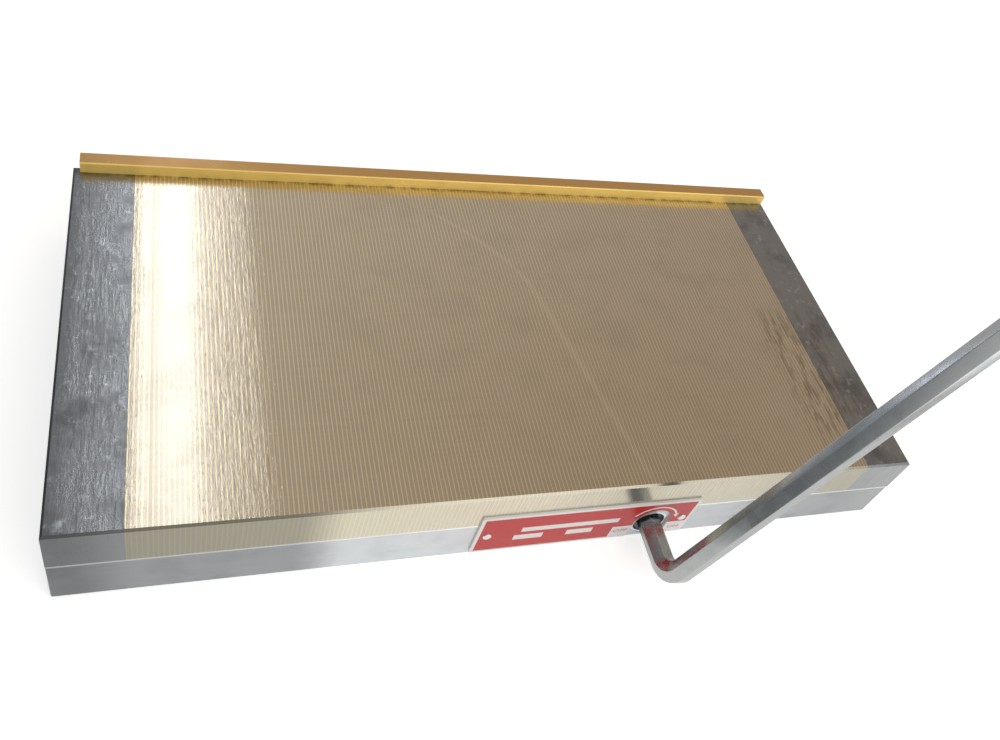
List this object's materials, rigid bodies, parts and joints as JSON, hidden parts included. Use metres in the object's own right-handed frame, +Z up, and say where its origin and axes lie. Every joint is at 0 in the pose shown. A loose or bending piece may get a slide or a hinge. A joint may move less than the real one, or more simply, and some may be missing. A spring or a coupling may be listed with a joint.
{
  "type": "magnetic chuck",
  "caption": "Flat rectangular fine-pole permanent magnetic chuck for surface grinding, with a laminated working face, a rear stop rail and a hex key that turns its eccentric shaft.",
  "frame": {"origin": "centre of the ground underside", "axes": "+X along the chuck's length to the right, +Y from the operator's side (nameplate, shaft end) to the stop rail, +Z up through the working face"},
  "size_m": [0.4, 0.2418, 0.2227],
  "materials": {
    "ground_steel": "surface-ground steel",
    "pole_steel": "surface-ground low-carbon steel",
    "pole_brass": "ground brass",
    "black_screw": "black oxide",
    "shaft_steel": "turned and ground alloy steel",
    "bronze": "sintered bronze",
    "rail_brass": "drawn brass",
    "nameplate_red": "printed and lacquered aluminium sheet",
    "rivet_aluminium": "satin",
    "felt": "oiled felt",
    "key_plated_steel": "zinc-plated, satin",
    "ferrite": "sintered ferrite",
    "slider_aluminium": "milled"
  },
  "bodies": {
    "chassis": {"housing": "ground_steel", "bottom_cover": "ground_steel", "cover_screws": "black_screw", "end_block_left": "pole_steel", "end_block_right": "pole_steel", "steel_laminae": "pole_steel", "brass_spacers": "pole_brass", "pole_plate_screws": "black_screw", "dowel_pins": "shaft_steel", "wear_sheet": "bronze", "stop_rail": "rail_brass", "rail_screws": "black_screw", "nameplate": "nameplate_red", "nameplate_rivets": "rivet_aluminium", "front_bush": "shaft_steel", "rear_bush": "bronze", "turn_stop_screw": "black_screw", "slide_strips": "pole_brass"},
    "cam_shaft": {"eccentric_shaft": "shaft_steel", "shaft_seal": "felt"},
    "hex_key": {"hex_key": "key_plated_steel"},
    "magnet_slider": {"magnets": "ferrite", "pole_bars": "pole_steel", "comb_rail_front": "slider_aluminium", "comb_rail_rear": "slider_aluminium", "drive_bar_left": "shaft_steel", "drive_bar_right": "shaft_steel", "end_bar_left": "slider_aluminium", "end_bar_right": "slider_aluminium", "slider_screws": "black_screw"}
  },
  "joints": [
    {"name": "shaft_turn", "type": "hinge", "parent": "chassis", "child": "cam_shaft", "pos_m": [0.0606, 0, 0.012], "axis": [0, 1, 0], "range_deg": [-108, 72]},
    {"name": "key_pull", "type": "slide", "parent": "cam_shaft", "child": "hex_key", "axis": [0, -1, 0], "range_m": [0, 0.02]},
    {"name": "slider_travel", "type": "slide", "parent": "chassis", "child": "magnet_slider", "axis": [1, 0, 0], "range_m": [-0.0024, 0.0016]}
  ],
  "couplings": [
    {"joint": "slider_travel", "follows": "shaft_turn", "m_per_rad": 0.0012732}
  ]
}
